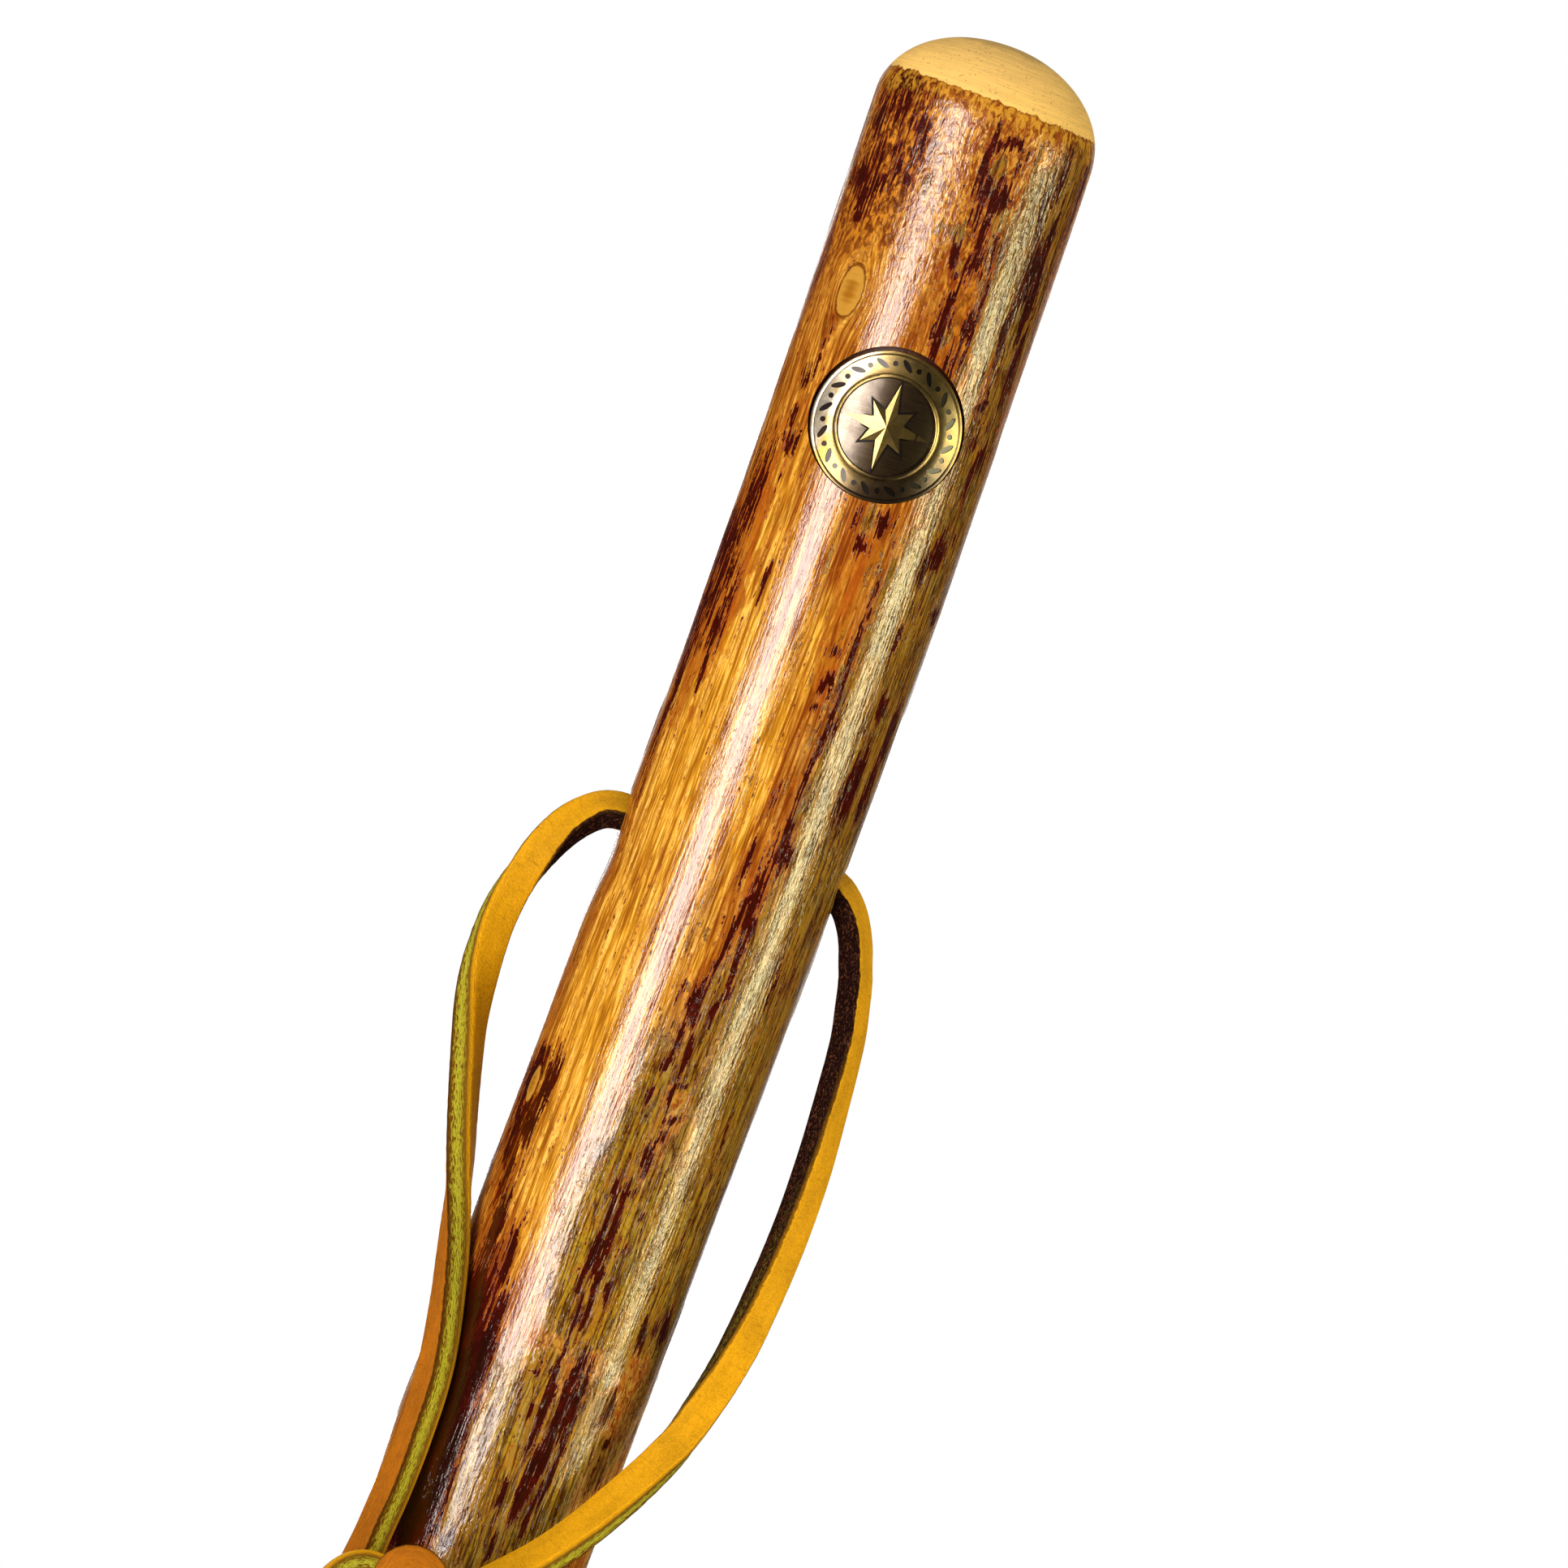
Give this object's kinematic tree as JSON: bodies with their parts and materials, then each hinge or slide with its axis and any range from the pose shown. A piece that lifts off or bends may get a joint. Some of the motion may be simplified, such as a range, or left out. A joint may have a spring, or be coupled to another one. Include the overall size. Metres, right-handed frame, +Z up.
{
  "type": "walking staff",
  "caption": "Natural hardwood walking staff: crooked tapering shaft with a rounded head, inlaid brass medallion, leather wrist lace through a cross bore and rubber ferrule.",
  "frame": {"origin": "centre of the ferrule's flat underside", "axes": "+Z up along the staff from tip to head, -Y the front, where the medallion is"},
  "size_m": [0.0842, 0.0506, 1.397],
  "materials": {
    "varnished_hardwood": "gloss varnish over peeled hardwood with bark islands",
    "antique_brass": "struck and antiqued, dark brushed field",
    "set_glue": "set adhesive",
    "brown_rubber": "matte moulded",
    "zinc_plated_steel": "plain zinc plate",
    "tan_leather": "cut thong, smooth face and rough back"
  },
  "bodies": {
    "staff": {"shaft": "varnished_hardwood", "medallion": "antique_brass", "medallion_adhesive": "set_glue", "ferrule": "brown_rubber", "ferrule_washer": "zinc_plated_steel"},
    "lace": {"lace_bore_run": "tan_leather", "lace_left_leg": "tan_leather", "lace_right_leg": "tan_leather", "lace_knot": "tan_leather", "lace_long_tail": "tan_leather", "lace_short_tail": "tan_leather"}
  },
  "joints": [
    {"name": "lace_swing", "type": "hinge", "parent": "staff", "child": "lace", "pos_m": [0.01266, 0, 1.26835], "axis": [-1, 0, 0], "range_deg": [0, 150]}
  ]
}
